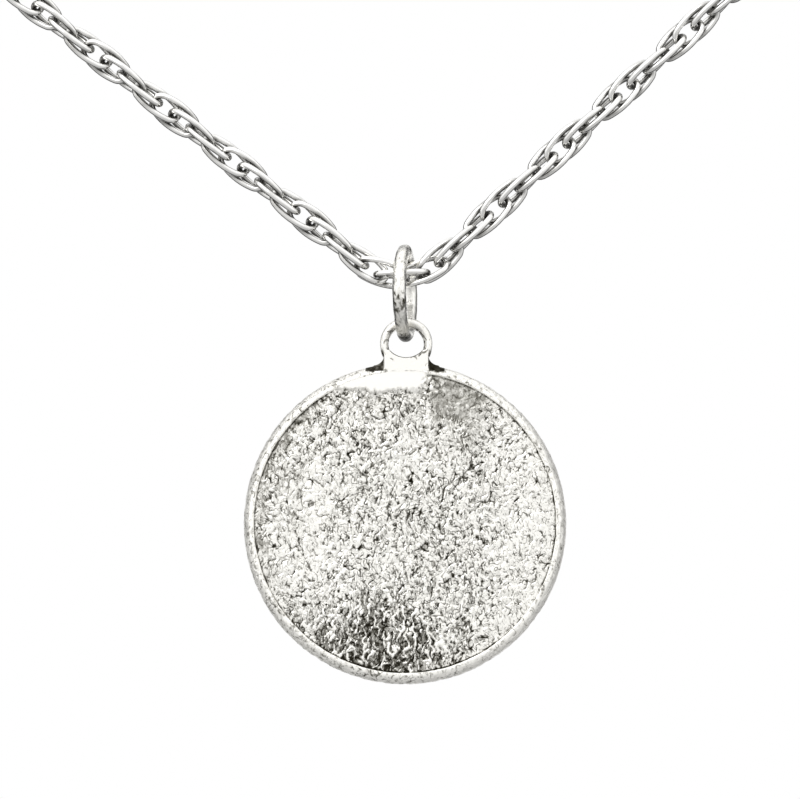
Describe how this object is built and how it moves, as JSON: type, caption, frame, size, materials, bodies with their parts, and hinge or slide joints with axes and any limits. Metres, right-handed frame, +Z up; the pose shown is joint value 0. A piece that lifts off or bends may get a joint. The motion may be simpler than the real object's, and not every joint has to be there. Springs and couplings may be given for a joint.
{
  "type": "vegvisir pendant",
  "caption": "Round cast medallion with a raised way-finding figure, hung by an eye and a jump ring on a loose rope chain that is worn round the neck.",
  "frame": {"origin": "top of the chain's loop, on the chain's centre line, where the necklace hangs from a peg or lies at the nape", "axes": "+Z up, +X to the right when the medallion's back is seen, +Y out of the medallion's front"},
  "size_m": [0.1578, 0.0095, 0.2211],
  "materials": {
    "antiqued_silver": "cast silver, darkened in the hollows and rubbed bright on the lip",
    "dull_silver": "soldered silver wire, dull and streaked",
    "bright_silver": "polished silver"
  },
  "bodies": {
    "chain": {"chain_left": "bright_silver", "chain_right": "bright_silver", "clasp": "bright_silver"},
    "ring": {"jump_ring": "dull_silver"},
    "pendant": {"medallion": "antiqued_silver"}
  },
  "joints": [
    {"name": "ring_swing", "type": "hinge", "parent": "chain", "child": "ring", "pos_m": [0.00423, 0, -0.17747], "axis": [0.9903, -0.1392, 0], "range_deg": [-40, 40]},
    {"name": "pendant_swing", "type": "hinge", "parent": "ring", "child": "pendant", "pos_m": [0.00423, -0.00035, -0.1836], "axis": [0.1392, 0.9903, 0], "range_deg": [-60, 60]}
  ]
}
